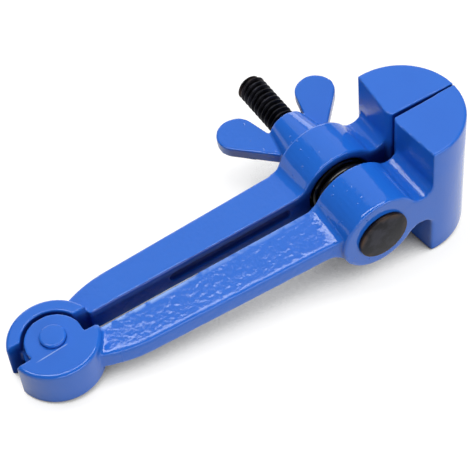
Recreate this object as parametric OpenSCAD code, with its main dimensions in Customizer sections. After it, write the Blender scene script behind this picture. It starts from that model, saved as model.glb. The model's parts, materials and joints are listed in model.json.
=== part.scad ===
// Hand vise: two cast arms hinged on a riveted lap knuckle, held open by a coil
// spring and drawn together by a square-necked screw with a wing nut.
// Millimetres. X runs from the hinge to the jaws, Y across the jaws towards the
// wing nut, Z along the hinge pin. The origin is the centre of the jaws' grip.

/* [Layout] */
// Distance from the hinge axis to the axis of the round jaws
jaw_from_hinge = 99.7; // [95:0.1:125]
// Distance from the hinge axis to the clamp screw
screw_from_hinge = 82.8; // [76:0.1:84]

/* [Jaws] */
// Radius of the round outline of the closed jaws
jaw_r = 16.1; // [14.5:0.1:20]
// Width of the gripping faces, along the hinge pin
jaw_w = 37.8; // [28:0.1:50]
// Distance from the jaw axis back to the rear face, at the split
jaw_back = 3.2; // [2.5:0.1:4]
// Draft of the rear face, in degrees
jaw_back_draft = 5.5; // [2:0.5:8]
// Depth of the bevel that leads in to the gripping faces at their rear edge
jaw_lead = 0.8; // [0.2:0.1:1.5]
// Gap between the gripping faces at their rear edge
gap_back = 1.2; // [0.8:0.1:2]
// Gap between the gripping faces at the nose
gap_nose = 0.4; // [0.2:0.1:0.8]
// Rounding of the jaws' rim
jaw_edge = 0.5; // [0.4:0.1:2]

/* [Arms] */
// Gap between the inner faces of the two arms
arm_gap = 4.6; // [3:0.1:8]
// Distance from the hinge axis to where the flare of the arm ends
flare_x = 20; // [16:0.5:30]
// Half width across the arms where the flare ends
flare_half = 12; // [11:0.1:14]
// Radius of the flare, seen along the hinge pin
flare_r = 33; // [25:1:45]
// Angle at which the arms widen towards the jaws, in degrees
arm_widening = 2.1; // [0.5:0.1:2.5]
// Half thickness of the arm at its outer edge
arm_edge_half = 2.6; // [2:0.1:3.2]
// Draft of the arm's upper and lower faces, in degrees
arm_draft = 7; // [4:0.5:9]
// Rounding of the arm's outer edges
arm_edge = 0.7; // [0.5:0.1:1.6]
// Distance from the hinge axis to the start of the recess in the inner face
recess_x = 33; // [28:0.5:40]
// Length of the recess
recess_l = 35; // [20:0.5:38]
// Height of the recess
recess_h = 2.6; // [1.5:0.1:4]
// Depth of the recess
recess_depth = 1; // [0.4:0.1:2]

/* [Knuckle] */
// Outer radius of the knuckle
knuckle_r = 11.3; // [10.6:0.1:13]
// Height of the knuckle, along the hinge pin
knuckle_h = 11; // [9:0.1:13]
// Rounding of the knuckle's rim
knuckle_edge = 0.9; // [0.3:0.1:1.5]
// Radius of the fork boss on the fixed arm
boss_r = 7.2; // [6.6:0.1:7.3]
// Distance from the hinge axis back to the centre of the fork boss
boss_back = 0.5; // [0:0.1:1.5]
// Inner radius of the hook on the moving arm
hook_r = 7.8; // [7.6:0.1:8.4]
// Distance from the hinge axis to the fixed arm's shoulders
fixed_shoulder = 2.3; // [1.5:0.1:3.5]
// Distance from the hinge axis to the moving arm's shoulders
moving_shoulder = 3.4; // [2.5:0.1:4.5]
// Thickness of the moving arm's tongue
tongue_t = 3.2; // [2.5:0.1:4]
// Side clearance of the tongue in the fork, each side
tongue_gap = 0.15; // [0.05:0.05:0.3]
// Clearance between the tongue's rim and the fork
tongue_rim_gap = 0.4; // [0.2:0.1:0.8]

/* [Hinge pin] */
// Radius of the pin
pin_r = 2.6; // [2:0.1:3]
// Radius of the peened heads
pin_head_r = 3.2; // [3.1:0.1:4.2]
// Height of the peened heads
pin_head_h = 1.1; // [0.4:0.1:1.4]
// Rounding of the peened heads
pin_head_edge = 0.4; // [0.1:0.1:0.4]
// Radial clearance of the pin in the fork
pin_fork_gap = 0.06; // [0.01:0.01:0.1]
// Radial clearance of the pin in the tongue
pin_tongue_gap = 0.06; // [0.02:0.01:0.1]

/* [Eyes] */
// Radius of the eye at the arm's inner face
eye_r = 11.7; // [11.2:0.1:12.4]
// Radius of the eye at its outer face
eye_outer_r = 11.1; // [10.6:0.1:11.8]
// Distance from the split to the outer face of the moving arm's eye
eye_face = 14.6; // [14:0.1:15.4]
// Distance from the split to the outer face of the fixed arm's eye
head_face = 15.9; // [15:0.1:16.1]
// Rounding of the eye's outer rim
eye_edge = 0.5; // [0.3:0.1:1.5]
// Radius of the fillet from the arm up to the eye
eye_fillet = 4; // [2:0.1:6]
// Half height of the neck between eye and jaw, at the inner face
neck_half = 7; // [6:0.1:7.6]
// Half height of the neck at the outer face
neck_outer_half = 4.8; // [4:0.1:6]
// Radius of the valley between eye and jaw
valley_r = 3.2; // [2:0.1:3.4]

/* [Clamp screw] */
// Outside diameter of the thread
thread_d = 7.7; // [6:0.1:8]
// Distance from the split to the end of the screw
screw_end = 44.8; // [44:0.1:50]
// Chamfer at the screw's end
screw_chamfer = 0.8; // [0.3:0.1:1.2]
// Radius of the round head
head_r = 6.9; // [6:0.1:8]
// Thickness of the head
head_h = 1.1; // [0.5:0.1:3]
// Chamfer of the head's rim
head_chamfer = 0.3; // [0.1:0.1:0.6]
// Length of the square neck
square_l = 4; // [3:0.1:4.5]
// Clearance of the square neck in its hole, each side
square_gap = 0.1; // [0.05:0.05:0.2]
// Clearance of the screw in the moving arm's slot
slot_gap = 0.5; // [0.4:0.1:0.8]
// Widest opening of the arms, in degrees
opening = 10; // [6:0.5:10]

/* [Wing nut] */
// Radius of the hub at its base
hub_base_r = 7.4; // [6.8:0.1:7.8]
// Radius of the hub at its end
hub_end_r = 5.3; // [4.8:0.1:6]
// Length of the hub
hub_l = 10.5; // [8:0.1:11]
// Radial clearance of the nut on the screw
nut_gap = 0.05; // [0.02:0.01:0.1]
// Thickness of the wings
wing_t = 3.3; // [2:0.1:4]
// Radius of the wings' round tips
wing_tip_r = 5.3; // [4:0.1:6]
// Distance from the screw to the centre of a wing's tip
wing_reach = 12.2; // [11:0.1:15]
// Height of the tip's centre above the hub's base
wing_rise = 15.4; // [13:0.1:18]
// Height above the hub's base at which a wing's lower edge leaves the hub
wing_root = 1.6; // [1:0.1:3]
// Distance below the hub's end at which a wing's upper edge leaves the hub
wing_drop = 2.2; // [0.5:0.1:4]
// Turn of the nut on the screw while the jaws are closed, in degrees
nut_turn = -2.5; // [-15:0.5:15]

/* [Washer] */
// Radius of the thrust washer
washer_r = 8.5; // [7.8:0.1:9]
// Thickness of the thrust washer
washer_t = 1.5; // [1:0.1:2]
// Clearance between the washer and the parts that it runs on
washer_gap = 0.03; // [0.02:0.01:0.1]

/* [Spring] */
// Wire diameter
wire_d = 2; // [1.4:0.1:2.2]
// Radius of the coil to the middle of the wire
coil_r = 7.2; // [6.4:0.1:7.4]
// Number of curls
curls = 5; // [3:1:5]
// Depth of the spring's pockets in the arms
pocket_depth = 5.4; // [4:0.1:6]
// Clearance between the coil and its pockets
pocket_gap = 0.7; // [0.3:0.1:0.9]
// Clearance between the ends of the coil and the pockets' floors
seat_gap = 0.1; // [0.05:0.05:0.2]

/* [Hidden] */
$fn = 96;

enamel = "#2f62c8";
black_oxide = "#1d1d1f";
zinc_plate = "#b9bdc2";

// Spare length that a cutter runs past the faces it opens
over = 1;

grip_x = jaw_from_hinge + (jaw_r - jaw_back) / 2;
arm_face = arm_gap / 2;
thread_r = thread_d / 2;
square_w = thread_d;
pocket_r = coil_r + wire_d / 2 + pocket_gap;
tongue_half = tongue_t / 2;
fork_half = tongue_half + tongue_gap;
fork_r = hook_r + tongue_rim_gap;
washer_base = eye_face + washer_gap;
hub_base = washer_base + washer_t + washer_gap;

// Bar of the arm
bar_depth = flare_half + over;
bar_l = screw_from_hinge - flare_x;
flare_angle = 30;
function bar_half(inset) = arm_edge_half + inset * tan(arm_draft);

// Centres of the round fillets at the arm's inner face, seen along Y
bar_at_eye = bar_half(eye_face - arm_face);
eye_fillet_z = bar_at_eye + eye_fillet;
eye_fillet_x = screw_from_hinge - sqrt(pow(eye_r + eye_fillet, 2) - pow(eye_fillet_z, 2));
jaw_rear_x = jaw_from_hinge - jaw_back;
valley_x = jaw_rear_x + arm_face * tan(jaw_back_draft) - valley_r;
valley_z = neck_half + valley_r;
neck_draft = atan((neck_half - neck_outer_half) / (eye_face - arm_face));

// Slot that lets the moving arm swing past the screw
slot_shift = screw_from_hinge * (cos(opening) - 1)
           + (eye_face + screw_from_hinge * sin(opening)) * tan(opening);
slot_r = thread_r + slot_gap;

// Solid of revolution with rounded upper and lower rims, centred on the hinge axis
module puck(r, h, edge) {
    rotate_extrude() {
        polygon([[0, -h / 2], [r - edge, -h / 2], [r, edge - h / 2],
                 [r, h / 2 - edge], [r - edge, h / 2], [0, h / 2]]);
        for (side = [-1, 1])
            translate([r - edge, side * (h / 2 - edge)])
                intersection() {
                    circle(edge);
                    translate([0, -edge])
                        square([edge, 2 * edge]);
                }
    }
}

// Everything on the moving arm's side of a plane across the hinge axis
module beyond(y) {
    reach = jaw_from_hinge + jaw_r;
    translate([-reach, y, -jaw_w])
        cube([3 * reach, reach, 2 * jaw_w]);
}

// Places a shape that is drawn in the X and Y plane so that it is extruded along Y
module across_arm() {
    rotate([-90, 0, 0])
        children();
}

// Half section of the bar: outer edge on the Y axis, inner side towards -X
module bar_section() {
    edge_z = bar_half(arm_edge) - arm_edge / cos(arm_draft);
    for (side = [-1, 1])
        mirror([0, side < 0 ? 1 : 0]) {
            polygon([[-bar_depth, 0], [0, 0], [0, edge_z],
                     [arm_edge * (sin(arm_draft) - 1), edge_z + arm_edge * cos(arm_draft)],
                     [-bar_depth, bar_half(bar_depth)]]);
            translate([-arm_edge, edge_z])
                circle(arm_edge);
        }
}

// Tapered bar from the knuckle to the eye, with its flare at the knuckle
module bar() {
    intersection() {
        translate([flare_x, flare_half, 0])
            rotate([0, 0, arm_widening]) {
                rotate([90, 0, 90])
                    linear_extrude(bar_l)
                        bar_section();
                translate([0, -flare_r, 0])
                    rotate([0, 0, 90])
                        rotate_extrude(angle = flare_angle)
                            translate([flare_r, 0])
                                bar_section();
            }
        beyond(arm_face);
    }
}

// Boss that carries the clamp screw, drawn in towards its outer face
module eye(face) {
    depth = face - arm_face;
    translate([screw_from_hinge, arm_face, 0])
        across_arm()
            rotate_extrude() {
                polygon([[0, 0], [eye_r, 0], [eye_outer_r, depth - eye_edge],
                         [eye_outer_r - eye_edge, depth], [0, depth]]);
                translate([eye_outer_r - eye_edge, depth - eye_edge])
                    circle(eye_edge);
            }
}

// Web with a concave edge: fills from a corner up to a round fillet whose axis
// starts at (x, z) on the inner face and sinks outwards with the draft
module fillet_web(x, z, r, draft, turn, reach, far_side) {
    length = jaw_r + over;
    for (side = [0, 1])
        mirror([0, 0, side])
            translate([x, arm_face, z])
                rotate([-draft, 0, turn])
                    translate([0, -over, 0])
                        across_arm()
                            difference() {
                                linear_extrude(length)
                                    polygon([[0, 0], [reach, 0], [reach, z], [far_side, z]]);
                                translate([0, 0, -over])
                                    cylinder(r = r, h = length + 2 * over);
                            }
}

// Outer face of the bar at a distance from the hinge axis
function bar_face(x) = flare_half + (x - flare_x) * tan(arm_widening);

// Eye and neck seen along the hinge pin; a flush neck runs out into the jaw's round side,
// or down to the jaw's crown where the eye stands higher
module neck_outline(face, flush) {
    jaw_axis = [jaw_from_hinge, 0];
    rim = [screw_from_hinge + head_r, face];
    outside = norm(jaw_axis - rim) > jaw_r;
    run_out = face < jaw_r ? tangent_point(rim, jaw_axis, jaw_r, 1) : [jaw_from_hinge, jaw_r];
    touch = flush && outside ? run_out : rim;
    polygon([[eye_fillet_x, arm_face], [eye_fillet_x, bar_face(eye_fillet_x)],
             [screw_from_hinge - eye_outer_r / 2, face], rim, touch,
             [jaw_from_hinge, eye_face], [jaw_from_hinge, arm_face]]);
    if (flush && touch[0] < jaw_from_hinge)
        intersection() {
            translate(jaw_axis)
                circle(jaw_r);
            translate([touch[0], arm_face])
                square([jaw_from_hinge - touch[0], jaw_r]);
        }
}

// Neck between the eye and the jaw, with the fillets on both sides of the eye
module neck(face, flush) {
    eye_to_valley = screw_from_hinge - valley_x;
    top = max(jaw_r, face) + over;
    top_half = neck_half - (top - arm_face) * tan(neck_draft);
    intersection() {
        linear_extrude(jaw_w, center = true)
            neck_outline(face, flush);
        union() {
            translate([screw_from_hinge, 0, 0])
                rotate([90, 0, 90])
                    linear_extrude(jaw_from_hinge - screw_from_hinge)
                        for (side = [0, 1])
                            mirror([0, side])
                                polygon([[arm_face, 0], [top, 0],
                                         [top, top_half], [arm_face, neck_half]]);
            fillet_web(eye_fillet_x, eye_fillet_z, eye_fillet, arm_draft, 0,
                       0, screw_from_hinge - eye_fillet_x);
            fillet_web(valley_x, valley_z, valley_r, neck_draft, -jaw_back_draft,
                       valley_r + over, eye_to_valley);
        }
    }
}

// Half of the round jaw block
module jaw() {
    nose_x = jaw_from_hinge + jaw_r;
    intersection() {
        translate([jaw_from_hinge, 0, 0])
            puck(jaw_r, jaw_w, jaw_edge);
        linear_extrude(jaw_w + 2 * over, center = true)
            polygon([[jaw_rear_x + jaw_lead, gap_back / 2],
                     [jaw_rear_x + arm_face * tan(jaw_back_draft), arm_face],
                     [jaw_rear_x + jaw_r * tan(jaw_back_draft), jaw_r],
                     [nose_x, jaw_r], [nose_x, gap_nose / 2]]);
    }
}

// Casting that both arms share, without its knuckle
module arm_casting(face, flush) {
    difference() {
        union() {
            bar();
            eye(face);
            neck(face, flush);
            jaw();
        }
        translate([screw_from_hinge, arm_face - over, 0])
            across_arm()
                cylinder(r = pocket_r, h = pocket_depth + over);
        inner_recess();
    }
}

// Long shallow recess with round ends in the arm's inner face
module inner_recess() {
    end_r = recess_h / 2;
    translate([recess_x + end_r, arm_face - over, 0])
        across_arm()
            linear_extrude(recess_depth + over) {
                translate([0, -end_r])
                    square([recess_l - recess_h, recess_h]);
                for (x = [0, recess_l - recess_h])
                    translate([x, 0])
                        circle(end_r);
            }
}

// Near arm: its knuckle is a fork that takes the other arm's tongue
module fixed_jaw_arm() {
    color(enamel)
        difference() {
            mirror([0, 1, 0])
                union() {
                    arm_casting(head_face, flush = true);
                    intersection() {
                        puck(knuckle_r, knuckle_h, knuckle_edge);
                        beyond(fixed_shoulder);
                    }
                    translate([0, boss_back, 0])
                        cylinder(r = boss_r, h = knuckle_h, center = true);
                }
            cylinder(r = fork_r, h = 2 * fork_half, center = true);
            cylinder(r = pin_r + pin_fork_gap, h = knuckle_h + 2 * over, center = true);
            square_hole = square_w + 2 * square_gap;
            translate([screw_from_hinge - square_hole / 2, -head_face - over, -square_hole / 2])
                cube([square_hole, head_face, square_hole]);
        }
}

// Far arm: its knuckle is a hook with a tongue in its middle plane, and its neck
// stays below the washer's path
module moving_jaw_arm() {
    color(enamel)
        difference() {
            union() {
                difference() {
                    union() {
                        arm_casting(eye_face, flush = false);
                        intersection() {
                            puck(knuckle_r, knuckle_h, knuckle_edge);
                            beyond(moving_shoulder);
                        }
                    }
                    difference() {
                        cylinder(r = knuckle_r, h = knuckle_h, center = true);
                        beyond(moving_shoulder);
                    }
                    for (side = [0, 1])
                        mirror([0, 0, side])
                            translate([0, 0, tongue_half])
                                cylinder(r = hook_r, h = knuckle_h);
                }
                cylinder(r = hook_r, h = tongue_t, center = true);
            }
            cylinder(r = pin_r + pin_tongue_gap, h = knuckle_h, center = true);
            translate([screw_from_hinge, arm_face, 0])
                across_arm()
                    linear_extrude(eye_face) {
                        translate([0, -slot_r])
                            square([slot_shift, 2 * slot_r]);
                        for (x = [0, slot_shift])
                            translate([x, 0])
                                circle(slot_r);
                    }
        }
}

// Hinge pin with a peened head at each end
module hinge_pin() {
    edge = min(pin_head_edge, pin_head_h / 2);
    color(enamel) {
        cylinder(r = pin_r, h = knuckle_h, center = true);
        for (side = [0, 1])
            mirror([0, 0, side])
                translate([0, 0, knuckle_h / 2])
                    rotate_extrude()
                        intersection() {
                            square([pin_head_r, pin_head_h]);
                            union() {
                                square([pin_head_r - edge, pin_head_h]);
                                square([pin_head_r, pin_head_h - edge]);
                                translate([pin_head_r - edge, pin_head_h - edge])
                                    circle(edge);
                            }
                        }
    }
}

// Screw with a round head and a square neck that keeps it from turning
module clamp_screw() {
    shank_l = head_face + screw_end;
    color(black_oxide)
        translate([screw_from_hinge, -head_face, 0])
            across_arm() {
                rotate_extrude()
                    polygon([[0, -head_h], [head_r - head_chamfer, -head_h],
                             [head_r, head_chamfer - head_h], [head_r, 0], [0, 0]]);
                linear_extrude(square_l)
                    square(square_w, center = true);
                rotate_extrude()
                    polygon([[0, 0], [thread_r, 0],
                             [thread_r, shank_l - screw_chamfer],
                             [thread_r - screw_chamfer, shank_l],
                             [0, shank_l]]);
            }
}

// Plain washer under the wing nut, wide enough to bridge the slot
module thrust_washer() {
    color(zinc_plate)
        translate([screw_from_hinge, washer_base, 0])
            across_arm()
                difference() {
                    cylinder(r = washer_r, h = washer_t);
                    translate([0, 0, -over])
                        cylinder(r = thread_r + nut_gap, h = washer_t + 2 * over);
                }
}

// Point at which a line from p touches a circle, on the side given by turn
function tangent_point(p, centre, r, turn) =
    let (d = norm(centre - p),
         heading = atan2(centre[1] - p[1], centre[0] - p[0]) + turn * asin(r / d))
    p + sqrt(d * d - r * r) * [cos(heading), sin(heading)];

// Radius of the nut's hub at a height above its base
function hub_r(height) = hub_base_r - height * (hub_base_r - hub_end_r) / hub_l;

// Outline of one wing: straight sides that run from the hub into a round tip
module wing_outline() {
    tip = [wing_reach, wing_rise];
    crown_h = hub_l - wing_drop;
    foot = [hub_r(wing_root) - wing_t / 4, wing_root];
    crown = [hub_r(crown_h) - wing_t / 4, crown_h];
    polygon([[0, wing_root], foot, tangent_point(foot, tip, wing_tip_r, -1), tip,
             tangent_point(crown, tip, wing_tip_r, 1), crown, [0, crown_h]]);
    translate(tip)
        circle(wing_tip_r);
}

// Wing nut with a tapered hub and two round wings
module wing_nut() {
    color(enamel)
        translate([screw_from_hinge, hub_base, 0])
            rotate([0, nut_turn, 0])
                difference() {
                    union() {
                        across_arm()
                            cylinder(r1 = hub_base_r, r2 = hub_end_r, h = hub_l);
                        for (side = [0, 1])
                            mirror([side, 0, 0])
                                linear_extrude(wing_t, center = true)
                                    wing_outline();
                    }
                    translate([0, -over, 0])
                        across_arm()
                            cylinder(r = thread_r + nut_gap, h = hub_l + wing_rise);
                }
}

// Coil spring
wire_sides = 6;
rings_per_curl = 8;
floor_y = arm_face + pocket_depth;
coil_end = floor_y - seat_gap - wire_d / 2;
ring_count = curls * rings_per_curl + 1;
coil_pitch = 2 * coil_end / curls;
ring_step = 360 / rings_per_curl;

// Middle of the wire: straight for one wire diameter at each end, a helix between
function coil_point(turned) = [coil_r * cos(turned), coil_r * sin(turned),
                               coil_pitch * turned / 360 - coil_end];
function coil_heading(turned) =
    let (rise = coil_pitch / 360 * 180 / PI, run = norm([coil_r, rise]))
    [-coil_r * sin(turned), coil_r * cos(turned), rise] / run;
coil_angles = [for (i = [0 : ring_count - 1]) i * ring_step];
wire_path = concat(
    [coil_point(0) - wire_d * coil_heading(0)],
    [for (turned = coil_angles) coil_point(turned)],
    [coil_point(360 * curls) + wire_d * coil_heading(360 * curls)]);
wire_turns = concat([0], coil_angles, [360 * curls]);

// Ring of points round the wire, square to its run
function wire_ring(i) =
    let (ahead = coil_heading(wire_turns[i]),
         outwards = [cos(wire_turns[i]), sin(wire_turns[i]), 0],
         upwards = cross(ahead, outwards))
    [for (k = [0 : wire_sides - 1])
        wire_path[i] + wire_d / 2 * (outwards * cos(360 / wire_sides * k)
                                     + upwards * sin(360 / wire_sides * k))];

module wire_tube() {
    last = len(wire_path) - 1;
    points = [for (i = [0 : last]) each wire_ring(i)];
    function at(i, k) = i * wire_sides + k % wire_sides;
    polyhedron(points, concat(
        [for (i = [0 : last - 1], k = [0 : wire_sides - 1]) each
            [[at(i, k), at(i + 1, k), at(i, k + 1)],
             [at(i, k + 1), at(i + 1, k), at(i + 1, k + 1)]]],
        [for (k = [1 : wire_sides - 2]) [at(0, 0), at(0, k), at(0, k + 1)]],
        [for (k = [1 : wire_sides - 2]) [at(last, 0), at(last, k + 1), at(last, k)]]));
}

// Least gap between curls, over pairs of rings at least half a curl apart
least_gap = min([for (i = [0 : len(wire_path) - 1], j = [0 : len(wire_path) - 1])
                    if (j - i > rings_per_curl / 2) norm(wire_path[j] - wire_path[i])]) - wire_d;

module opening_spring() {
    echo(least_gap_between_curls = least_gap);
    color(black_oxide)
        translate([screw_from_hinge, 0, 0])
            across_arm()
                wire_tube();
}

// Moves a piece from the hinge axis to the part's own origin
module from_grip() {
    translate([-grip_x, 0, 0])
        children();
}

from_grip() fixed_jaw_arm();
from_grip() moving_jaw_arm();
from_grip() hinge_pin();
from_grip() clamp_screw();
from_grip() opening_spring();
from_grip() thrust_washer();
from_grip() wing_nut();
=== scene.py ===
"""Looks of a small hand vise: soft-edged enamelled castings, a cut thread, a round-wire
spring and a plain studio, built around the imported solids."""

import json
import math

import bmesh
import bpy
from mathutils import Matrix, Vector, noise


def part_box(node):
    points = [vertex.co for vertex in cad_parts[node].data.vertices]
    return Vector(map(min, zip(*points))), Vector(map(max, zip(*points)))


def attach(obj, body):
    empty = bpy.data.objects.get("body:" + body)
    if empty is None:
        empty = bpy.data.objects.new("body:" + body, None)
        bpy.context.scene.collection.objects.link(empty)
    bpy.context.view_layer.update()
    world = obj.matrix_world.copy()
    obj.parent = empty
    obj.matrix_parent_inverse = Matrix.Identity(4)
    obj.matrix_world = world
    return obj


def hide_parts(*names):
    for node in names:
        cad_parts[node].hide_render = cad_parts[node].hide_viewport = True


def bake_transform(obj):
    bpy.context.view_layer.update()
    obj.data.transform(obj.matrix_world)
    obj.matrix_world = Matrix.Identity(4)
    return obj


bl_info = {
    "name": "Hand vise",
    "version": (1, 0, 0),
    "blender": (4, 5, 0),
    "location": "View3D > Sidebar > Hand vise",
    "description": "Builds the looks of an enamelled hand vise around its packed solids",
    "category": "Object",
}

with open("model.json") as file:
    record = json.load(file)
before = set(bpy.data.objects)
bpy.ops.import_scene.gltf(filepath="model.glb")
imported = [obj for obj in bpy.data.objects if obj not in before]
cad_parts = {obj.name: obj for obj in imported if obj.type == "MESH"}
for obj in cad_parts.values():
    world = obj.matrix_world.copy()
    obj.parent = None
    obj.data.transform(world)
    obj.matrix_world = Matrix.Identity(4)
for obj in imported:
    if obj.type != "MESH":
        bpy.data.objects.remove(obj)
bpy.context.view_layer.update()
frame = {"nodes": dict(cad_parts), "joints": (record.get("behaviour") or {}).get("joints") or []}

MM = 0.001
MICRON = 0.000001
FULL_TURN = 2 * math.pi
# Points closer than this are one point
WELD = 0.5 * MICRON
# Edges that turn more than this are rounded over
SHARP = math.radians(25)

JOINTS = {joint["name"]: joint for joint in frame["joints"]}
HINGE = Vector(JOINTS["jaw_hinge"]["pos_m"])
SCREW_X = JOINTS["nut_spin"]["pos_m"][0]
SCREW_LOW, SCREW_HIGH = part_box("clamp_screw")
HEAD_RADIUS = (SCREW_HIGH.x - SCREW_LOW.x) / 2
ACROSS = Vector((0, 1, 0))
UP = Vector((0, 0, 1))
ALONG = Vector((1, 0, 0))

# Quicker waves on a casting for each slow one, and their share of its height
QUICK_WAVES = 2.3
QUICK_SHARE = 0.4

# Shares of the pitch at which a thread rises, reaches its crest, leaves it and ends
THREAD_RISES, CREST_STARTS, CREST_ENDS, THREAD_ENDS = 0.16, 0.46, 0.64, 0.94
THREAD_STEPS = 40
# Edges of the screw that turn more than this stay crisp
CRISP = math.radians(40)

# Zones where a finish differs. Each soft edge has what it is measured by, where the zone
# starts and where it is whole.
ON_BAR = (("X", HINGE.x + 9.15 * MM, HINGE.x + 12.15 * MM),
          ("X", SCREW_X - 9.65 * MM, SCREW_X - 13.65 * MM))
ON_EYE = (("X", SCREW_X - 13.65 * MM, SCREW_X - 10.65 * MM),
          ("X", SCREW_X + 1.35 * MM, SCREW_X - 3.65 * MM))
JAW_TOPS = (("X", -13 * MM, -11 * MM), ("Z", 7 * MM, 11 * MM))
BAR_RIM = (*ON_BAR, ("outward", 0.1, 0.3))
# The slit's walls get painted shade at their top and in their recess, and none further down
SLIT_WALL = (*ON_BAR, ("outward", -0.3, -0.7))
SLIT_DEEP = (("Z", 3 * MM, 0.5 * MM), ("off split", 2.8 * MM, 2.5 * MM))
NEAR_INNER_EDGE = (*ON_BAR, ("Y", -4 * MM, -3.2 * MM), ("Y", -1 * MM, -1.5 * MM),
                   ("Z", 2 * MM, 3 * MM))
# Ends of the hairline run of paint on the knuckle, along the arms and across them
RUN_START = Vector((HINGE.x - 5.85 * MM, -3.95 * MM))
RUN_END = Vector((HINGE.x + 2.15 * MM, -3.5 * MM))
KNUCKLE_RUN = (("off run", 0.2 * MM, 0.06 * MM), ("X", HINGE.x - 6.75 * MM, HINGE.x - 4.85 * MM),
               ("X", HINGE.x + 2.15 * MM, HINGE.x + 1.35 * MM), ("Z", 4 * MM, 5 * MM))
HEAD_RIM = (("radius", HEAD_RADIUS - 1.7 * MM, HEAD_RADIUS + 0.1 * MM),)
SCREW_TIP = (("Y", SCREW_HIGH.y - 2.8 * MM, SCREW_HIGH.y + 0.2 * MM),)

# Roughness of plain enamel, and how much rougher it is in some zones
ENAMEL_ROUGHNESS = 0.08
ROUGHER = ((ON_BAR, 0.07), (BAR_RIM, 0.14), (JAW_TOPS, 0.16))

# Each lamp's name, the setting of its power, its width and height, and its place from the aim
LAMPS = (
    ("Strip overhead", "strip_power", (0.65, 0.13), (0.02, 0.07, 0.5)),
    ("Panel behind", "panel_power", (0.8, 0.7), (0.27, 0.55, 0.62)),
    ("Backdrop behind", "backdrop_power", (1.0, 0.3), (0.35, 1.0, 0.24)),
    ("Panel in front", "front_power", (1.2, 0.35), (0.1, -0.9, 0.2)),
)
SENSOR_MM = 36
NEAREST_SEEN = 10 * MM

# Sockets of a mix share their names, so they go by number: its share, the two values or the
# two colours that it mixes, and what comes out
SHARE, VALUE_A, VALUE_B, COLOUR_A, COLOUR_B = 0, 2, 3, 6, 7
MIXED_VALUE, MIXED_COLOUR = 0, 2


def linear(hex_colour):
    """Linear RGB of an sRGB colour such as 2f62c8."""
    levels = [int(hex_colour[place:place + 2], 16) / 255 for place in (0, 2, 4)]
    return [level / 12.92 if level <= 0.04045 else ((level + 0.055) / 1.055) ** 2.4
            for level in levels]


def length(name, description, metres):
    """A length that the user may change."""
    return bpy.props.FloatProperty(
        name=name, description=description, default=metres, min=0, precision=5, unit="LENGTH")


def colour(name, description, hex_colour):
    """A colour that the user may change."""
    return bpy.props.FloatVectorProperty(
        name=name, description=description, default=linear(hex_colour), size=3, min=0, max=1,
        subtype="COLOR")


class CastingSettings(bpy.types.PropertyGroup):
    """How far sand casting and paint soften the arms and the nut"""

    grid: length("Grid", "Spacing of the fine mesh that is softened", 0.32 * MM)
    nut_grid: length("Nut grid", "Spacing of the wing nut's fine mesh", 0.24 * MM)
    passes: bpy.props.IntProperty(
        name="Softening", description="Passes of smoothing over the arms", default=2, min=0)
    under_passes: bpy.props.IntProperty(
        name="Underside softening", description="More passes over the arms' underside",
        default=8, min=0)
    bar_passes: bpy.props.IntProperty(
        name="Bar softening", description="More passes over the near arm's bar", default=9, min=0)
    nut_passes: bpy.props.IntProperty(
        name="Nut softening", description="Passes of smoothing over the nut", default=6, min=0)
    under: length("Underside", "Depth below the middle at which the underside starts", 6 * MM)
    bar_from_hinge: length("Bar from hinge", "From the hinge to the start of the bars", 10 * MM)
    bar_from_screw: length("Bar from screw", "From the screw to the end of the bars", 12 * MM)
    wave: length("Wave", "Length of the waves left by the sand mould", 6 * MM)
    wave_height: length("Wave height", "Height of those waves", 0.02 * MM)


class ScrewSettings(bpy.types.PropertyGroup):
    """Sizes of the clamp screw, the pin and the washer"""

    pitch: length("Pitch", "Pitch of the thread", 1.6 * MM)
    thread_depth: length("Thread depth", "Depth of the thread", 0.9 * MM)
    thread_radius: length("Thread radius", "Outside radius of the thread", 3.83 * MM)
    tip_chamfer: length("Tip chamfer", "Chamfer at the screw's tip", 0.8 * MM)
    head_height: length("Head height", "Thickness of the round head", 1.1 * MM)
    head_chamfer: length("Head chamfer", "Chamfer of the head's rim", 0.3 * MM)
    neck_width: length("Neck width", "Width of the square neck", 7.7 * MM)
    neck_length: length("Neck length", "Length of the square neck", 4 * MM)
    pin_radius: length("Pin radius", "Radius of the hinge pin", 2.6 * MM)
    pin_head_height: length("Pin head height", "Height of the pin's peened heads", 1.1 * MM)
    pin_head_round: length("Pin head rounding", "Rounding of the peened heads", 0.45 * MM)
    washer_bore: length("Washer bore", "Radius of the washer's bore", 3.9 * MM)
    washer_edge: length("Washer edge", "Rounding of the washer's edges", 0.2 * MM)


class SpringSettings(bpy.types.PropertyGroup):
    """Sizes of the opening spring"""

    wire: length("Wire", "Diameter of the wire", 2 * MM)
    curls: bpy.props.IntProperty(name="Curls", description="Number of curls", default=5, min=1)
    wire_sides: bpy.props.IntProperty(
        name="Wire sides", description="Sides of the wire", default=16, min=6)
    steps: bpy.props.IntProperty(
        name="Steps", description="Steps in each curl", default=48, min=12)


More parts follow.
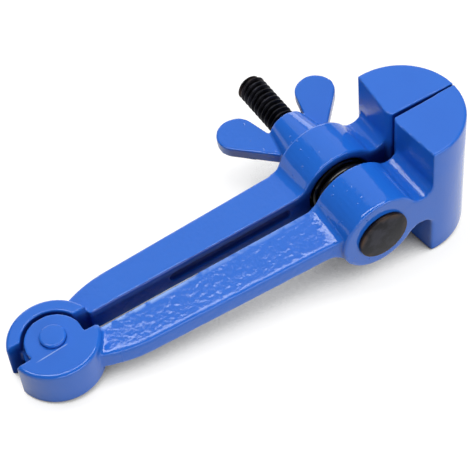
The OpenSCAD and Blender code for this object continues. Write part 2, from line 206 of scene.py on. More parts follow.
class FinishSettings(bpy.types.PropertyGroup):
    """Colours of the finishes"""

    enamel: colour("Enamel", "Blue enamel", "216ad1")
    enamel_deep: colour("Deep enamel", "Enamel where it lies thick", "1d63c9")
    bare_edge: colour("Bare edge", "Casting that shows through on worn edges", "55607a")
    # A real hairline run of paint on the knuckle, drawn pale as a painted highlight along it
    run_highlight: colour("Paint run", "Pale hairline run of paint on the knuckle", "86a5e2")
    # Painted highlight: a pale broken line along the near bar's inner edge
    inner_edge_highlight: colour("Thin edge", "Enamel drawn thin over the near bar's inner edge", "92b4ef")
    # Painted shade: a dark blue laid on tight gaps and on the slit's walls
    gap_shade: colour("Grime", "Dirt that gathers in tight gaps", "2b4b9e")
    oxide: colour("Black oxide", "Black oxide on the screw", "212125")
    oxide_dusty: colour("Dusty oxide", "Black oxide under a film of dust", "34343b")
    oxide_brown: colour("Worn oxide", "Black oxide where it is rubbed brown", "4a3a2e")
    spring_black: colour("Spring black", "Oiled spring wire", "121213")
    zinc: colour("Zinc", "Bright zinc plate", "b9bdc2")
    floor: colour("Floor", "White studio floor", "888888")


class StageSettings(bpy.types.PropertyGroup):
    """Camera, floor and lamps"""

    azimuth: bpy.props.FloatProperty(
        name="Azimuth", description="Where the camera stands round the vise",
        default=math.radians(-26.95), subtype="ANGLE")
    elevation: bpy.props.FloatProperty(
        name="Elevation", description="Camera's height over the horizon",
        default=math.radians(52.16), subtype="ANGLE")
    roll: bpy.props.FloatProperty(
        name="Roll", description="Camera's turn about its own axis",
        default=math.radians(-6.76), subtype="ANGLE")
    distance: length("Distance", "From the camera to its aim", 411.3 * MM)
    aim: bpy.props.FloatVectorProperty(
        name="Aim", description="Point that the camera looks at",
        default=(-53.6 * MM, 3.74 * MM, 1.24 * MM), subtype="TRANSLATION", precision=5)
    lens: bpy.props.FloatProperty(
        name="Lens", description="Focal length in millimetres", default=128.05, unit="CAMERA")
    knuckle_half: length("Knuckle half", "Half the height of the knuckle", 5.5 * MM)
    jaw_depth: length("Jaw depth", "From the jaws' nose to their rear edge", 18.4 * MM)
    floor_size: length("Floor size", "Side of the floor", 6.0)
    strip_power: bpy.props.FloatProperty(
        name="Strip power", description="Power of the strip lamp overhead", default=2.3, unit="POWER")
    panel_power: bpy.props.FloatProperty(
        name="Panel power", description="Power of the soft panel behind", default=1.4, unit="POWER")
    front_power: bpy.props.FloatProperty(
        name="Front power", description="Power of the soft panel in front", default=5.5, unit="POWER")
    backdrop_power: bpy.props.FloatProperty(
        name="Backdrop power", description="Power of the low panel behind", default=2.8, unit="POWER")
    fill: bpy.props.FloatProperty(
        name="Fill", description="Light of the dim studio walls", default=0.15)


def add_node(tree, kind, sockets=None, **options):
    """Adds a node, sets its options, and sets or links its inputs by name or number."""
    made = tree.nodes.new(kind)
    for option, value in options.items():
        setattr(made, option, value)
    for socket, value in (sockets or {}).items():
        if isinstance(value, bpy.types.NodeSocket):
            tree.links.new(value, made.inputs[socket])
        else:
            made.inputs[socket].default_value = value
    return made


def empty_material(name):
    """A material with no nodes yet, and its node tree."""
    made = bpy.data.materials.new(name)
    made.use_nodes = True
    made.node_tree.nodes.clear()
    return made, made.node_tree


def opaque(rgb):
    """A colour with full alpha, as sockets take it."""
    return (*rgb, 1.0)


def per_size(metres):
    """Scale at which a texture has features of that size."""
    return 1 / metres


def zone(tree, measures, edges):
    """Mask of a zone with soft edges, from 0 outside it to 1 where it is whole."""
    mask = 1.0
    for measure, start, whole in edges:
        edge = add_node(tree, "ShaderNodeMapRange", {
            "Value": measures[measure], "From Min": start, "From Max": whole})
        mask = add_node(tree, "ShaderNodeMath", {0: mask, 1: edge.outputs["Result"]},
                        operation="MULTIPLY").outputs[0]
    return mask


def casting_measures(tree, place):
    """What zones on a casting are measured by: its axes, the distance off the split plane, how
    far the surface looks away from that plane, and the distance off the knuckle's paint run."""
    axes = add_node(tree, "ShaderNodeSeparateXYZ", {0: place}).outputs
    off_split = add_node(tree, "ShaderNodeMath", {0: axes["Y"]}, operation="ABSOLUTE")
    side = add_node(tree, "ShaderNodeMath", {0: axes["Y"]}, operation="SIGN")
    normal = add_node(tree, "ShaderNodeNewGeometry").outputs["Normal"]
    facing = add_node(tree, "ShaderNodeSeparateXYZ", {0: normal}).outputs["Y"]
    outward = add_node(tree, "ShaderNodeMath", {0: side.outputs[0], 1: facing}, operation="MULTIPLY")
    run = add_node(tree, "ShaderNodeMapRange", {
        "Value": axes["X"], "From Min": RUN_START.x, "From Max": RUN_END.x,
        "To Min": RUN_START.y, "To Max": RUN_END.y})
    beside = add_node(tree, "ShaderNodeMath", {0: axes["Y"], 1: run.outputs["Result"]},
                      operation="SUBTRACT")
    off_run = add_node(tree, "ShaderNodeMath", {0: beside.outputs[0]}, operation="ABSOLUTE")
    return {"X": axes["X"], "Y": axes["Y"], "Z": axes["Z"], "off split": off_split.outputs[0],
            "outward": outward.outputs[0], "off run": off_run.outputs[0]}


def highlight_line_mask(tree, place, measures):
    """Mask of the painted highlight: a broken pale line along the near bar's inner edge."""
    break_size = 3 * MM
    fade_start, fade_end = HINGE.x + 28.15 * MM, HINGE.x + 40.15 * MM
    breaks = add_node(tree, "ShaderNodeTexNoise",
                      {"Vector": place, "Scale": per_size(break_size), "Detail": 2.0})
    unbroken = add_node(tree, "ShaderNodeMapRange", {
        "Value": breaks.outputs["Fac"], "From Min": 0.36, "From Max": 0.5})
    fading = add_node(tree, "ShaderNodeMapRange", {
        "Value": measures["X"], "From Min": fade_start, "From Max": fade_end,
        "To Min": 0.9, "To Max": 0.4})
    shown = add_node(tree, "ShaderNodeMath", {
        0: unbroken.outputs["Result"], 1: fading.outputs["Result"]}, operation="MULTIPLY")
    return add_node(tree, "ShaderNodeMath", {
        0: shown.outputs[0], 1: zone(tree, measures, NEAR_INNER_EDGE)}, operation="MULTIPLY").outputs[0]


def worn_edges(tree, sags):
    """Mask of the chips along sharp edges, where the coat sags away from them."""
    edge = add_node(tree, "ShaderNodeMapRange", {
        "Value": add_node(tree, "ShaderNodeNewGeometry").outputs["Pointiness"],
        "From Min": 0.56, "From Max": 0.66, "To Max": 0.5})
    chips = add_node(tree, "ShaderNodeMapRange", {"Value": sags, "From Min": 0.5, "From Max": 0.62})
    return add_node(tree, "ShaderNodeMath", {
        0: edge.outputs["Result"], 1: chips.outputs["Result"]}, operation="MULTIPLY").outputs[0]


def enamel_colour(tree, finish, place, measures, sags, openness):
    """Blue that deepens where the coat pools and is worn at its edges, with painted highlights on the
    knuckle's run of paint and along the near bar's inner edge, and painted shade in tight gaps and on
    the slit's walls.
    """
    pool_size = 14 * MM
    pools = add_node(tree, "ShaderNodeTexNoise",
                     {"Vector": place, "Scale": per_size(pool_size), "Detail": 2.0})
    coat = add_node(tree, "ShaderNodeMix", {
        SHARE: pools.outputs["Fac"], COLOUR_A: opaque(finish.enamel_deep),
        COLOUR_B: opaque(finish.enamel)}, data_type="RGBA")
    for mask, rgb in ((worn_edges(tree, sags), finish.bare_edge),
                      (zone(tree, measures, KNUCKLE_RUN), finish.run_highlight),
                      (highlight_line_mask(tree, place, measures), finish.inner_edge_highlight)):
        coat = add_node(tree, "ShaderNodeMix", {
            SHARE: mask, COLOUR_A: coat.outputs[MIXED_COLOUR], COLOUR_B: opaque(rgb)},
            data_type="RGBA")
    # Painted shade: tight gaps, by how open they are, and the slit's walls take the dark gap colour
    open_unshaded = add_node(tree, "ShaderNodeMapRange", {
        "Value": openness, "From Min": 0.2, "From Max": 0.6})
    unshaded = add_node(tree, "ShaderNodeMix", {
        SHARE: zone(tree, measures, SLIT_WALL), VALUE_A: open_unshaded.outputs["Result"],
        VALUE_B: zone(tree, measures, SLIT_DEEP)}, data_type="FLOAT")
    shaded_coat = add_node(tree, "ShaderNodeMix", {
        SHARE: unshaded.outputs[MIXED_VALUE], COLOUR_A: opaque(finish.gap_shade),
        COLOUR_B: coat.outputs[MIXED_COLOUR]}, data_type="RGBA")
    return shaded_coat.outputs[MIXED_COLOUR]


def enamel_roughness(tree, measures):
    """Roughness of the enamel: glossy, duller on the bars, their rims and the jaws' tops."""
    rough = ENAMEL_ROUGHNESS
    for edges, added in ROUGHER:
        rough = add_node(tree, "ShaderNodeMath", {0: zone(tree, measures, edges), 1: added, 2: rough},
                         operation="MULTIPLY_ADD").outputs[0]
    return rough


def enamel_relief(tree, place, measures, sags):
    """Normal of the enamel: paint spits on the eyes, sags and orange peel that show on the bars."""
    nib_size, nib_height = 2.2 * MM, 90 * MICRON
    sag_height = 115 * MICRON
    peel_size, peel_height = 0.55 * MM, 12 * MICRON
    nibs = add_node(tree, "ShaderNodeTexVoronoi", {"Vector": place, "Scale": per_size(nib_size)})
    dots = add_node(tree, "ShaderNodeMapRange", {
        "Value": nibs.outputs["Distance"], "From Min": 0.05, "From Max": 0.16,
        "To Min": 1.0, "To Max": 0.0})
    nibbed = add_node(tree, "ShaderNodeBump", {
        "Height": dots.outputs["Result"], "Strength": zone(tree, measures, ON_EYE),
        "Distance": nib_height})
    skin = add_node(tree, "ShaderNodeMapRange", {
        "Value": zone(tree, measures, ON_BAR), "To Min": 0.22, "To Max": 1.0})
    sagged = add_node(tree, "ShaderNodeBump", {
        "Height": sags, "Strength": skin.outputs["Result"], "Distance": sag_height,
        "Normal": nibbed.outputs["Normal"]})
    peel = add_node(tree, "ShaderNodeTexNoise",
                    {"Vector": place, "Scale": per_size(peel_size), "Detail": 1.0})
    peeled = add_node(tree, "ShaderNodeBump", {
        "Height": peel.outputs["Fac"], "Strength": skin.outputs["Result"], "Distance": peel_height,
        "Normal": sagged.outputs["Normal"]})
    return peeled.outputs["Normal"]


def blue_enamel(finish):
    """Stove enamel sprayed on a sand casting: glossy, with orange peel and slow sags."""
    name = "Blue stove enamel on cast iron"
    if name in bpy.data.materials:
        return bpy.data.materials[name]
    sag_size, gap = 1.5 * MM, 9 * MM
    made, tree = empty_material(name)
    place = add_node(tree, "ShaderNodeTexCoord").outputs["Object"]
    measures = casting_measures(tree, place)
    sags = add_node(tree, "ShaderNodeTexNoise", {
        "Vector": place, "Scale": per_size(sag_size), "Detail": 1.0}).outputs["Fac"]
    openness = add_node(tree, "ShaderNodeAmbientOcclusion", {"Distance": gap}, samples=8).outputs["AO"]
    # Tight gaps mirror less: painted shade on their reflections, by how open they are
    shaded_mirror_level = add_node(tree, "ShaderNodeMapRange", {
        "Value": openness, "From Min": 0.42, "From Max": 0.78, "To Max": 0.5})
    shader = add_node(tree, "ShaderNodeBsdfPrincipled", {
        "Base Color": enamel_colour(tree, finish, place, measures, sags, openness),
        "Roughness": enamel_roughness(tree, measures),
        "Normal": enamel_relief(tree, place, measures, sags),
        "IOR": 1.48,
        "Specular IOR Level": shaded_mirror_level.outputs["Result"]})
    add_node(tree, "ShaderNodeOutputMaterial", {"Surface": shader.outputs[0]})
    return made


def black_oxide(finish):
    """Hot black oxide on turned steel: dull black, dusty in patches, rubbed brown where handled."""
    blotch_size = 3 * MM
    # The real grain is finer than this; it is drawn as coarse as it needs to show
    grain_size, grain_height = 0.4 * MM, 8 * MICRON
    made, tree = empty_material("Black oxide on turned steel")
    place = add_node(tree, "ShaderNodeTexCoord").outputs["Object"]
    blotch = add_node(tree, "ShaderNodeTexNoise",
                      {"Vector": place, "Scale": per_size(blotch_size), "Detail": 3.0})
    grain = add_node(tree, "ShaderNodeTexNoise",
                     {"Vector": place, "Scale": per_size(grain_size), "Detail": 1.0})
    flat = add_node(tree, "ShaderNodeMapping", {
        "Vector": place, "Location": (-SCREW_X, 0, 0), "Scale": (1, 0, 1)})
    radius = add_node(tree, "ShaderNodeVectorMath", {0: flat.outputs[0]}, operation="LENGTH")
    measures = {"radius": radius.outputs["Value"],
                "Y": add_node(tree, "ShaderNodeSeparateXYZ", {0: place}).outputs["Y"]}
    handled = add_node(tree, "ShaderNodeMath", {
        0: zone(tree, measures, HEAD_RIM), 1: zone(tree, measures, SCREW_TIP)}, operation="MAXIMUM")
    patches = add_node(tree, "ShaderNodeMapRange", {
        "Value": blotch.outputs["Fac"], "From Min": 0.42, "From Max": 0.62}).outputs["Result"]
    rubbed = add_node(tree, "ShaderNodeMath", {0: handled.outputs[0], 1: patches}, operation="MULTIPLY")
    dusty = add_node(tree, "ShaderNodeMix", {
        SHARE: patches, COLOUR_A: opaque(finish.oxide), COLOUR_B: opaque(finish.oxide_dusty)},
        data_type="RGBA")
    skin = add_node(tree, "ShaderNodeMix", {
        SHARE: rubbed.outputs[0], COLOUR_A: dusty.outputs[MIXED_COLOUR],
        COLOUR_B: opaque(finish.oxide_brown)}, data_type="RGBA")
    dull = add_node(tree, "ShaderNodeMapRange", {
        "Value": blotch.outputs["Fac"], "To Min": 0.38, "To Max": 0.56})
    rough = add_node(tree, "ShaderNodeBump", {
        "Height": grain.outputs["Fac"], "Strength": 0.6, "Distance": grain_height})
    shader = add_node(tree, "ShaderNodeBsdfPrincipled", {
        "Base Color": skin.outputs[MIXED_COLOUR], "Roughness": dull.outputs["Result"],
        "Normal": rough.outputs["Normal"], "Metallic": 1.0})
    add_node(tree, "ShaderNodeOutputMaterial", {"Surface": shader.outputs[0]})
    return made


def oiled_spring_wire(finish):
    """Hard drawn wire, blackened and oiled: smooth, with a film of oil that shines unevenly."""
    film_size = 2.5 * MM
    made, tree = empty_material("Oiled black spring wire")
    place = add_node(tree, "ShaderNodeTexCoord").outputs["Object"]
    oil = add_node(tree, "ShaderNodeTexNoise",
                   {"Vector": place, "Scale": per_size(film_size), "Detail": 2.0})
    film = add_node(tree, "ShaderNodeMapRange", {
        "Value": oil.outputs["Fac"], "To Min": 0.16, "To Max": 0.32})
    shader = add_node(tree, "ShaderNodeBsdfPrincipled", {
        "Base Color": opaque(finish.spring_black), "Roughness": film.outputs["Result"],
        "Metallic": 0.0, "IOR": 1.5})
    add_node(tree, "ShaderNodeOutputMaterial", {"Surface": shader.outputs[0]})
    return made


def zinc_plate(finish):
    """Bright zinc on a stamped washer: pale metal with a slightly mottled shine."""
    mottle_size = 1.8 * MM
    made, tree = empty_material("Bright zinc plate")
    place = add_node(tree, "ShaderNodeTexCoord").outputs["Object"]
    mottle = add_node(tree, "ShaderNodeTexNoise",
                      {"Vector": place, "Scale": per_size(mottle_size), "Detail": 3.0})
    shine = add_node(tree, "ShaderNodeMapRange", {
        "Value": mottle.outputs["Fac"], "To Min": 0.2, "To Max": 0.42})
    shader = add_node(tree, "ShaderNodeBsdfPrincipled", {
        "Base Color": opaque(finish.zinc), "Roughness": shine.outputs["Result"], "Metallic": 1.0})
    add_node(tree, "ShaderNodeOutputMaterial", {"Surface": shader.outputs[0]})
    return made


def finished_object(bm, name):
    """Turns a bmesh into a smooth-shaded object at the origin."""
    for face in bm.faces:
        face.smooth = True
    mesh = bpy.data.meshes.new(name)
    bm.to_mesh(mesh)
    bm.free()
    made = bpy.data.objects.new(name, mesh)
    bpy.context.scene.collection.objects.link(made)
    return made


def dress(piece, node, material):
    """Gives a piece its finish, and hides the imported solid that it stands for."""
    piece.data.materials.clear()
    piece.data.materials.append(material)
    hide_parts(node)


def softened_copy(node, name, grid, passes):
    """Copy of a solid on a fine even grid, smoothed as sand and paint soften a casting."""
    bm = bmesh.new()
    bm.from_mesh(frame["nodes"][node].data)
    bmesh.ops.remove_doubles(bm, verts=bm.verts, dist=WELD)
    piece = finished_object(bm, name)
    remesh = piece.modifiers.new("Even grid", "REMESH")
    remesh.mode = "VOXEL"
    remesh.voxel_size = grid
    graph = bpy.context.evaluated_depsgraph_get()
    even = bpy.data.meshes.new_from_object(piece.evaluated_get(graph))
    if not even.polygons:
        raise RuntimeError(f"{node} gave an empty mesh")
    piece.modifiers.clear()
    bm = bmesh.new()
    bm.from_mesh(even)
    bpy.data.meshes.remove(even)
    soften(bm, bm.verts, passes)
    for face in bm.faces:
        face.smooth = True
    bm.to_mesh(piece.data)
    bm.free()
    return piece


def soften(bm, verts, passes):
    """Draws each vertex towards the middle of its neighbours."""
    for _ in range(passes):
        bmesh.ops.smooth_vert(bm, verts=verts, factor=0.5,
                              use_axis_x=True, use_axis_y=True, use_axis_z=True)


def soften_part(piece, belongs, passes):
    """Softens the part of a casting that a test picks by its place."""
    bm = bmesh.new()
    bm.from_mesh(piece.data)
    soften(bm, [vertex for vertex in bm.verts if belongs(vertex.co)], passes)
    bm.to_mesh(piece.data)
    bm.free()


def add_waves(piece, wave, height):
    """Moves a casting's skin in and out by the slow waves that the mould leaves."""
    for vertex, normal in zip(piece.data.vertices, piece.data.vertex_normals):
        slow = noise.noise(vertex.co / wave)
        quick = noise.noise(vertex.co * QUICK_WAVES / wave)
        vertex.co += normal.vector * height * (slow + QUICK_SHARE * quick)
    piece.data.update()


def turned(bm, outline, centre, along, outward, steps=72):
    """Revolves an outline of (radius, distance along) pairs about a line."""
    corners = [bm.verts.new(centre + outward * radius + along * far) for radius, far in outline]
    edges = [bm.edges.new(pair) for pair in zip(corners, corners[1:])]
    bmesh.ops.spin(bm, geom=corners + edges, cent=centre, axis=along, dvec=(0, 0, 0),
                   angle=FULL_TURN, steps=steps, use_merge=True, use_duplicate=False)
    bmesh.ops.remove_doubles(bm, verts=bm.verts, dist=WELD)
    bmesh.ops.recalc_face_normals(bm, faces=bm.faces)


def round_edges(bm, width, segments):
    """Rounds over every sharp edge."""
    sharp = [edge for edge in bm.edges if edge.calc_face_angle(0) > SHARP]
    bmesh.ops.bevel(bm, geom=sharp, offset=width, affect="EDGES", segments=segments,
                    profile=0.5, material=-1, clamp_overlap=True)


def cap_ends(bm):
    """Closes every open end."""
    rims = [edge for edge in bm.edges if edge.is_boundary]
    bmesh.ops.holes_fill(bm, edges=rims, sides=0)
    bmesh.ops.recalc_face_normals(bm, faces=bm.faces)


def threaded_rod(bm, start, end, screw):
    """Cut right-hand thread from start to end along the screw's axis, chamfered at its tip."""
    crest, root, pitch = screw.thread_radius, screw.thread_radius - screw.thread_depth, screw.pitch
    turns = math.ceil((end - start) / pitch) + 2
    outline = [(root, 0), (root, pitch * THREAD_RISES), (crest, pitch * CREST_STARTS),
               (crest, pitch * CREST_ENDS), (root, pitch * THREAD_ENDS), (root, pitch)]
    centre = Vector((SCREW_X, start - pitch, 0))
    corners = [bm.verts.new(centre + ALONG * radius + ACROSS * far) for radius, far in outline]
    edges = [bm.edges.new(pair) for pair in zip(corners, corners[1:])]
    bmesh.ops.spin(bm, geom=corners + edges, cent=centre, axis=ACROSS,
                   dvec=ACROSS * pitch / THREAD_STEPS, angle=FULL_TURN * turns,
                   steps=turns * THREAD_STEPS, use_merge=False, use_duplicate=False)
    bmesh.ops.remove_doubles(bm, verts=bm.verts, dist=WELD)
    for level, outwards in ((start, -ACROSS), (end, ACROSS)):
        bmesh.ops.bisect_plane(bm, geom=bm.verts[:] + bm.edges[:] + bm.faces[:],
                               plane_co=(SCREW_X, level, 0), plane_no=outwards, clear_outer=True)
    chamfer_start = end - screw.tip_chamfer
    for vertex in bm.verts:
        spoke = vertex.co - Vector((SCREW_X, vertex.co.y, 0))
        limit = crest - max(0, vertex.co.y - chamfer_start)
        if spoke.length > limit:
            vertex.co -= spoke * (1 - limit / spoke.length)
    cap_ends(bm)


class VISE_OT_cast_arms(bpy.types.Operator):
    """Builds the two cast arms with softened edges and blue enamel"""

    bl_idname = "vise.cast_arms"
    bl_label = "Cast arms"

    def execute(self, context):
        casting = context.scene.vise_casting
        bar_start = HINGE.x + casting.bar_from_hinge
        bar_end = SCREW_X - casting.bar_from_screw
        for node, name, body in (("fixed_jaw_arm", "fixed_arm_casting", "frame"),
                                 ("moving_jaw_arm", "moving_arm_casting", "moving_arm")):
            piece = softened_copy(node, name, casting.grid, casting.passes)
            soften_part(piece, lambda place: place.z < -casting.under, casting.under_passes)
            if body == "frame":
                soften_part(piece, lambda place: bar_start < place.x < bar_end, casting.bar_passes)
            add_waves(piece, casting.wave, casting.wave_height)
            dress(piece, node, blue_enamel(context.scene.vise_finish))
            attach(piece, body)
        return {"FINISHED"}


class VISE_OT_hinge_pin(bpy.types.Operator):
    """Turns the hinge pin with its two painted, peened heads"""

    bl_idname = "vise.hinge_pin"
    bl_label = "Hinge pin"

    def execute(self, context):
        screw = context.scene.vise_screw
        low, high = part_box("hinge_pin")
        head_radius = (high.x - low.x) / 2
        head, top = screw.pin_head_height, high.z
        outline = [(0, -top), (head_radius, -top), (head_radius, head - top),
                   (screw.pin_radius, head - top), (screw.pin_radius, top - head),
                   (head_radius, top - head), (head_radius, top), (0, top)]
        bm = bmesh.new()
        turned(bm, outline, HINGE, UP, ALONG)
        rims = [edge for edge in bm.edges
                if all(abs(corner.co.z) > top - head / 2 for corner in edge.verts)
                and edge.calc_face_angle(0) > SHARP]
        bmesh.ops.bevel(bm, geom=rims, offset=screw.pin_head_round, affect="EDGES", segments=4,
                        profile=0.5, material=-1, clamp_overlap=True)
        piece = finished_object(bm, "riveted_pin")
        dress(piece, "hinge_pin", blue_enamel(context.scene.vise_finish))
        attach(piece, "frame")
        return {"FINISHED"}


class VISE_OT_clamp_screw(bpy.types.Operator):
    """Builds the clamp screw: round head, square neck and cut thread"""

    bl_idname = "vise.clamp_screw"
    bl_label = "Clamp screw"

    def execute(self, context):
        screw = context.scene.vise_screw
        seat = SCREW_LOW.y + screw.head_height
        axis = Vector((SCREW_X, 0, 0))
        head = [(0, SCREW_LOW.y), (HEAD_RADIUS, SCREW_LOW.y), (HEAD_RADIUS, seat), (0, seat)]
        whole = bmesh.new()
        turned(whole, head, axis, ACROSS, UP)
        round_edges(whole, screw.head_chamfer, segments=3)
        neck = Matrix.Translation((SCREW_X, seat + screw.neck_length / 2, 0))
        neck @= Matrix.Diagonal((screw.neck_width, screw.neck_length, screw.neck_width, 1))
        bmesh.ops.create_cube(whole, size=1, matrix=neck)
        rod = bmesh.new()
        threaded_rod(rod, seat + screw.neck_length, SCREW_HIGH.y, screw)
        joined = bpy.data.meshes.new("thread")
        rod.to_mesh(joined)
        rod.free()
        whole.from_mesh(joined)
        bpy.data.meshes.remove(joined)
        piece = finished_object(whole, "threaded_clamp_screw")
        dress(piece, "clamp_screw", black_oxide(context.scene.vise_finish))
        piece.data.set_sharp_from_angle(angle=CRISP)
        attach(piece, "frame")
        return {"FINISHED"}


class VISE_OT_opening_spring(bpy.types.Operator):
    """Winds the opening spring from round wire"""

    bl_idname = "vise.opening_spring"
    bl_label = "Opening spring"

    def execute(self, context):
        spring = context.scene.vise_spring
        low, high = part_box("opening_spring")
        wire_radius = spring.wire / 2
        coil_radius = (high.x - low.x) / 2 - wire_radius
        coil_end = min(high.y, -low.y) - wire_radius
        rise = 2 * coil_end / spring.curls
        heading = Vector((0, rise / FULL_TURN, -coil_radius)).normalized()
        start = Vector((SCREW_X + coil_radius, -coil_end, 0))
        bm = bmesh.new()
        ring = Matrix.Translation(start) @ heading.to_track_quat("Z", "Y").to_matrix().to_4x4()
        made = bmesh.ops.create_circle(
            bm, segments=spring.wire_sides, radius=wire_radius, matrix=ring)
        steps = spring.curls * spring.steps
        bmesh.ops.spin(bm, geom=made["verts"] + bm.edges[:], cent=(SCREW_X, 0, 0), axis=ACROSS,
                       dvec=ACROSS * rise / spring.steps, angle=FULL_TURN * spring.curls,
                       steps=steps, use_merge=False, use_duplicate=False)
        for side in (-1, 1):
            rim = [edge for edge in bm.edges
                   if edge.is_boundary and edge.verts[0].co.y * side > 0]
            ends = bmesh.ops.extrude_edge_only(bm, edges=rim)["geom"]
            tip = [corner for corner in ends if isinstance(corner, bmesh.types.BMVert)]
            bmesh.ops.translate(bm, verts=tip, vec=heading * side * spring.wire)
        cap_ends(bm)
        piece = finished_object(bm, "coiled_opening_spring")
        dress(piece, "opening_spring",
              oiled_spring_wire(context.scene.vise_finish))
        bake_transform(piece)
        return {"FINISHED"}


class VISE_OT_thrust_washer(bpy.types.Operator):
    """Turns the washer under the wing nut"""

    bl_idname = "vise.thrust_washer"
    bl_label = "Thrust washer"

    def execute(self, context):
        screw = context.scene.vise_screw
        low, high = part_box("thrust_washer")
        rim = (high.x - low.x) / 2
        bore = screw.washer_bore
        bm = bmesh.new()
        turned(bm, [(bore, low.y), (rim, low.y), (rim, high.y), (bore, high.y), (bore, low.y)],
               Vector((SCREW_X, 0, 0)), ACROSS, UP)
        round_edges(bm, screw.washer_edge, segments=3)
        piece = finished_object(bm, "stamped_washer")
        dress(piece, "thrust_washer", zinc_plate(context.scene.vise_finish))
        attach(piece, "nut_carriage")
        return {"FINISHED"}


class VISE_OT_wing_nut(bpy.types.Operator):
    """Builds the cast wing nut with softened edges and blue enamel"""

    bl_idname = "vise.wing_nut"
    bl_label = "Wing nut"

    def execute(self, context):
        casting = context.scene.vise_casting
        piece = softened_copy("wing_nut", "cast_wing_nut", casting.nut_grid, casting.nut_passes)
        dress(piece, "wing_nut", blue_enamel(context.scene.vise_finish))
        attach(piece, "wing_nut")
        return {"FINISHED"}


def white_floor(finish):
    """White sweep: it keeps shadows, and a little light of its own lifts it to clear white; that light
    fades under and beside the vise, a painted shadow there.
    """
    shade_reach = 60 * MM
    made, tree = empty_material("White studio sweep")
    path = add_node(tree, "ShaderNodeLightPath").outputs
    seen = add_node(tree, "ShaderNodeMath", {
        0: path["Is Camera Ray"], 1: path["Is Glossy Ray"]}, operation="ADD")
    shown = add_node(tree, "ShaderNodeMath", {
        0: seen.outputs[0], 1: path["Is Transmission Ray"]}, operation="ADD", use_clamp=True)
    # Painted shadow: the floor's own light fades where the vise leaves little open sky
    open_sky = add_node(tree, "ShaderNodeAmbientOcclusion", {"Distance": shade_reach}, samples=8)
    clear = add_node(tree, "ShaderNodeMapRange", {
        "Value": open_sky.outputs["AO"], "From Min": 0.2, "From Max": 0.48, "To Max": 0.85})
    lift = add_node(tree, "ShaderNodeMath", {
        0: shown.outputs[0], 1: clear.outputs["Result"]}, operation="MULTIPLY")
    matt = add_node(tree, "ShaderNodeBsdfDiffuse", {"Color": opaque(finish.floor)})
    glow = add_node(tree, "ShaderNodeEmission", {"Strength": lift.outputs[0]})
    both = add_node(tree, "ShaderNodeAddShader", {0: matt.outputs[0], 1: glow.outputs[0]})
    add_node(tree, "ShaderNodeOutputMaterial", {"Surface": both.outputs[0]})
    return made


def studio_world(stage):
    """Dim studio walls with a white horizon."""
    horizon_ends, walls_start = 0.03, 0.14
    world = bpy.data.worlds.new("Studio")
    world.use_nodes = True
    tree = world.node_tree
    tree.nodes.clear()
    way = add_node(tree, "ShaderNodeTexCoord").outputs["Generated"]
    height = add_node(tree, "ShaderNodeSeparateXYZ", {0: way}).outputs["Z"]
    light = add_node(tree, "ShaderNodeMapRange", {
        "Value": height, "From Min": horizon_ends, "From Max": walls_start,
        "To Min": 1.0, "To Max": stage.fill}, interpolation_type="SMOOTHSTEP")
    sky = add_node(tree, "ShaderNodeBackground", {
        "Color": opaque((1, 1, 1)), "Strength": light.outputs["Result"]})
    add_node(tree, "ShaderNodeOutputWorld", {"Surface": sky.outputs[0]})
    return world


def softbox(name, power, size, place, aim):
    """Rectangular soft lamp of a width and height, at a place and turned to an aim."""
    lamp = bpy.data.lights.new(name, "AREA")
    lamp.shape = "RECTANGLE"
    lamp.size, lamp.size_y = size
    lamp.energy = power
    made = bpy.data.objects.new(name, lamp)
    away = Vector(place) - Vector(aim)
    made.matrix_world = Matrix.Translation(place) @ away.to_track_quat("Z", "Y").to_matrix().to_4x4()
    bpy.context.scene.collection.objects.link(made)


def lay_floor(stage, finish):
    """Floor that the knuckle and the jaws' lower edge stand on."""
    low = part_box("fixed_jaw_arm")[0]
    jaw_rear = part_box("moving_jaw_arm")[1].x - stage.jaw_depth
    heel = Vector((low.x, 0, -stage.knuckle_half))
    toe = Vector((jaw_rear, 0, low.z))
    tilt = math.atan2(heel.z - toe.z, toe.x - heel.x)
    lay = Matrix.Translation(toe) @ Matrix.Rotation(tilt, 4, "Y")
    bm = bmesh.new()
    bmesh.ops.create_grid(bm, x_segments=1, y_segments=1, size=stage.floor_size / 2, matrix=lay)
    floor = finished_object(bm, "floor")
    floor.data.materials.append(white_floor(finish))


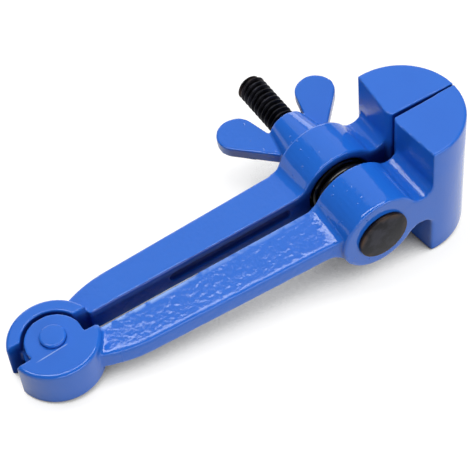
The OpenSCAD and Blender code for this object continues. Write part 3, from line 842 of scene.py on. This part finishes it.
def place_camera(stage):
    """Camera at the photograph's viewing angle."""
    azimuth, elevation, roll = stage.azimuth, stage.elevation, stage.roll
    back = Vector((math.sin(azimuth) * math.cos(elevation),
                   -math.cos(azimuth) * math.cos(elevation), math.sin(elevation)))
    level = Vector((math.cos(azimuth), math.sin(azimuth), 0))
    right = level * math.cos(roll) + back.cross(level) * math.sin(roll)
    lens = bpy.data.cameras.new("Camera")
    lens.lens = stage.lens
    lens.sensor_width = SENSOR_MM
    lens.clip_start = NEAREST_SEEN
    camera = bpy.data.objects.new("Camera", lens)
    turn = Matrix((right, back.cross(right), back)).transposed().to_4x4()
    camera.matrix_world = Matrix.Translation(Vector(stage.aim) + back * stage.distance) @ turn
    bpy.context.scene.collection.objects.link(camera)
    bpy.context.scene.camera = camera


class VISE_OT_studio(bpy.types.Operator):
    """Sets the white floor, the soft lamps and the camera"""

    bl_idname = "vise.studio"
    bl_label = "Studio"

    def execute(self, context):
        stage = context.scene.vise_stage
        lay_floor(stage, context.scene.vise_finish)
        context.scene.world = studio_world(stage)
        middle = Vector(stage.aim)
        for name, power, size, place in LAMPS:
            softbox(name, getattr(stage, power), size, middle + Vector(place), middle)
        place_camera(stage)
        context.scene.view_settings.view_transform = "Standard"
        return {"FINISHED"}


SETTINGS = {
    "vise_casting": CastingSettings,
    "vise_screw": ScrewSettings,
    "vise_spring": SpringSettings,
    "vise_finish": FinishSettings,
    "vise_stage": StageSettings,
}
OPERATORS = (VISE_OT_cast_arms, VISE_OT_hinge_pin, VISE_OT_clamp_screw, VISE_OT_opening_spring,
             VISE_OT_thrust_washer, VISE_OT_wing_nut, VISE_OT_studio)


class VISE_PT_panel(bpy.types.Panel):
    """Lists the steps that build the vise"""

    bl_idname = "VISE_PT_panel"
    bl_label = "Hand vise"
    bl_space_type = "VIEW_3D"
    bl_region_type = "UI"
    bl_category = "Hand vise"

    def draw(self, context):
        for name, group in SETTINGS.items():
            box = self.layout.box()
            for setting in group.__annotations__:
                box.prop(getattr(context.scene, name), setting)
        for step in OPERATORS:
            self.layout.operator(step.bl_idname)


CLASSES = (*SETTINGS.values(), *OPERATORS, VISE_PT_panel)


def register():
    for made in CLASSES:
        bpy.utils.register_class(made)
    for name, group in SETTINGS.items():
        setattr(bpy.types.Scene, name, bpy.props.PointerProperty(type=group))


def unregister():
    for name in SETTINGS:
        delattr(bpy.types.Scene, name)
    for made in reversed(CLASSES):
        bpy.utils.unregister_class(made)


def main():
    register()
    bpy.ops.vise.cast_arms()
    bpy.ops.vise.hinge_pin()
    bpy.ops.vise.clamp_screw()
    bpy.ops.vise.opening_spring()
    bpy.ops.vise.thrust_washer()
    bpy.ops.vise.wing_nut()
    bpy.ops.vise.studio()


if __name__ == "__main__":
    main()
